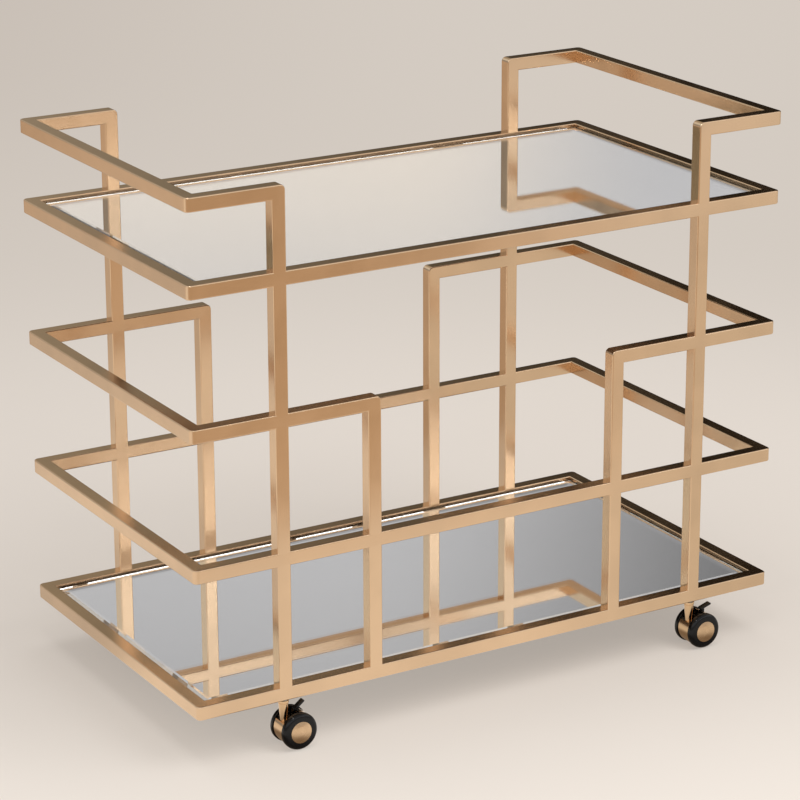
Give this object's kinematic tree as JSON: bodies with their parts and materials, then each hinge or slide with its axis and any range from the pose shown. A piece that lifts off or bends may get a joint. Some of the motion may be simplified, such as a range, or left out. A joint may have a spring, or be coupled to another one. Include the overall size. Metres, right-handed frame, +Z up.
{
  "type": "bar cart",
  "caption": "Rolling bar cart: a lattice of square brass tube with bevelled mirror shelves, raised end handles and swivel casters with brake levers.",
  "frame": {"origin": "on the floor, under the middle of the frame", "axes": "+X along the cart, +Y from the front, where the braked casters are, to the back, +Z up"},
  "size_m": [0.914, 0.531, 0.7665],
  "materials": {
    "frame_brass": "square steel tube, brass-plated and satin brushed",
    "mirror_glass": "silvered glass with a wide polished bevel",
    "backing_board": "plain hardboard",
    "caster_brass": "satin brass casting and pressed brass caps",
    "wheel_black": "glossy moulded nylon",
    "lever_black": "moulded nylon, lightly grained",
    "plain_steel": "zinc-plated turned steel"
  },
  "bodies": {
    "frame": {"bottom_frame_front_rail": "frame_brass", "bottom_frame_right_rail": "frame_brass", "bottom_frame_back_rail": "frame_brass", "bottom_frame_left_rail": "frame_brass", "lower_ring_front_rail": "frame_brass", "lower_ring_right_rail": "frame_brass", "lower_ring_back_rail": "frame_brass", "lower_ring_left_rail": "frame_brass", "top_frame_front_rail": "frame_brass", "top_frame_right_rail": "frame_brass", "top_frame_back_rail": "frame_brass", "top_frame_left_rail": "frame_brass", "left_middle_loop": "frame_brass", "left_handle": "frame_brass", "right_middle_loop": "frame_brass", "right_handle": "frame_brass", "front_left_outer_post": "frame_brass", "front_left_inner_post": "frame_brass", "front_right_outer_post": "frame_brass", "front_right_inner_post": "frame_brass", "back_left_outer_post": "frame_brass", "back_left_inner_post": "frame_brass", "back_right_outer_post": "frame_brass", "back_right_inner_post": "frame_brass", "top_shelf_mirror": "mirror_glass", "top_shelf_backing_board": "backing_board", "top_shelf_ledges": "frame_brass", "bottom_shelf_mirror": "mirror_glass", "bottom_shelf_backing_board": "backing_board", "bottom_shelf_ledges": "frame_brass", "stem_bushes": "plain_steel", "caster_stems": "plain_steel", "stem_split_rings": "plain_steel"},
    "front_left_caster": {"front_left_caster_body": "caster_brass", "front_left_axle": "plain_steel"},
    "front_left_front_wheel": {"front_left_wheel_front": "wheel_black", "front_left_cap_front": "caster_brass"},
    "front_left_back_wheel": {"front_left_wheel_back": "wheel_black", "front_left_cap_back": "caster_brass"},
    "front_right_caster": {"front_right_caster_body": "caster_brass", "front_right_axle": "plain_steel"},
    "front_right_front_wheel": {"front_right_wheel_front": "wheel_black", "front_right_cap_front": "caster_brass"},
    "front_right_back_wheel": {"front_right_wheel_back": "wheel_black", "front_right_cap_back": "caster_brass"},
    "back_left_caster": {"back_left_caster_body": "caster_brass", "back_left_axle": "plain_steel"},
    "back_left_front_wheel": {"back_left_wheel_front": "wheel_black", "back_left_cap_front": "caster_brass"},
    "back_left_back_wheel": {"back_left_wheel_back": "wheel_black", "back_left_cap_back": "caster_brass"},
    "back_right_caster": {"back_right_caster_body": "caster_brass", "back_right_axle": "plain_steel"},
    "back_right_front_wheel": {"back_right_wheel_front": "wheel_black", "back_right_cap_front": "caster_brass"},
    "back_right_back_wheel": {"back_right_wheel_back": "wheel_black", "back_right_cap_back": "caster_brass"},
    "front_left_brake": {"front_left_brake_lever": "lever_black"},
    "front_right_brake": {"front_right_brake_lever": "lever_black"}
  },
  "joints": [
    {"name": "front_left_swivel", "type": "hinge", "parent": "frame", "child": "front_left_caster", "pos_m": [-0.3275, -0.2405, 0.05], "axis": [0, 0, 1], "continuous": true},
    {"name": "front_left_front_spin", "type": "hinge", "parent": "front_left_caster", "child": "front_left_front_wheel", "pos_m": [-0.3128, -0.2405, 0.0255], "axis": [0, 1, 0], "continuous": true},
    {"name": "front_left_back_spin", "type": "hinge", "parent": "front_left_caster", "child": "front_left_back_wheel", "pos_m": [-0.3128, -0.2405, 0.0255], "axis": [0, 1, 0], "continuous": true},
    {"name": "front_right_swivel", "type": "hinge", "parent": "frame", "child": "front_right_caster", "pos_m": [0.3275, -0.2405, 0.05], "axis": [0, 0, 1], "continuous": true},
    {"name": "front_right_front_spin", "type": "hinge", "parent": "front_right_caster", "child": "front_right_front_wheel", "pos_m": [0.3422, -0.2405, 0.0255], "axis": [0, 1, 0], "continuous": true},
    {"name": "front_right_back_spin", "type": "hinge", "parent": "front_right_caster", "child": "front_right_back_wheel", "pos_m": [0.3422, -0.2405, 0.0255], "axis": [0, 1, 0], "continuous": true},
    {"name": "back_left_swivel", "type": "hinge", "parent": "frame", "child": "back_left_caster", "pos_m": [-0.3275, 0.2405, 0.05], "axis": [0, 0, 1], "continuous": true},
    {"name": "back_left_front_spin", "type": "hinge", "parent": "back_left_caster", "child": "back_left_front_wheel", "pos_m": [-0.3128, 0.2405, 0.0255], "axis": [0, 1, 0], "continuous": true},
    {"name": "back_left_back_spin", "type": "hinge", "parent": "back_left_caster", "child": "back_left_back_wheel", "pos_m": [-0.3128, 0.2405, 0.0255], "axis": [0, 1, 0], "continuous": true},
    {"name": "back_right_swivel", "type": "hinge", "parent": "frame", "child": "back_right_caster", "pos_m": [0.3275, 0.2405, 0.05], "axis": [0, 0, 1], "continuous": true},
    {"name": "back_right_front_spin", "type": "hinge", "parent": "back_right_caster", "child": "back_right_front_wheel", "pos_m": [0.3422, 0.2405, 0.0255], "axis": [0, 1, 0], "continuous": true},
    {"name": "back_right_back_spin", "type": "hinge", "parent": "back_right_caster", "child": "back_right_back_wheel", "pos_m": [0.3422, 0.2405, 0.0255], "axis": [0, 1, 0], "continuous": true},
    {"name": "front_left_brake_press", "type": "hinge", "parent": "front_left_caster", "child": "front_left_brake", "pos_m": [-0.3048, -0.2405, 0.0405], "axis": [0, 1, 0], "range_deg": [0, 20]},
    {"name": "front_right_brake_press", "type": "hinge", "parent": "front_right_caster", "child": "front_right_brake", "pos_m": [0.3502, -0.2405, 0.0405], "axis": [0, 1, 0], "range_deg": [-20, 0]}
  ]
}
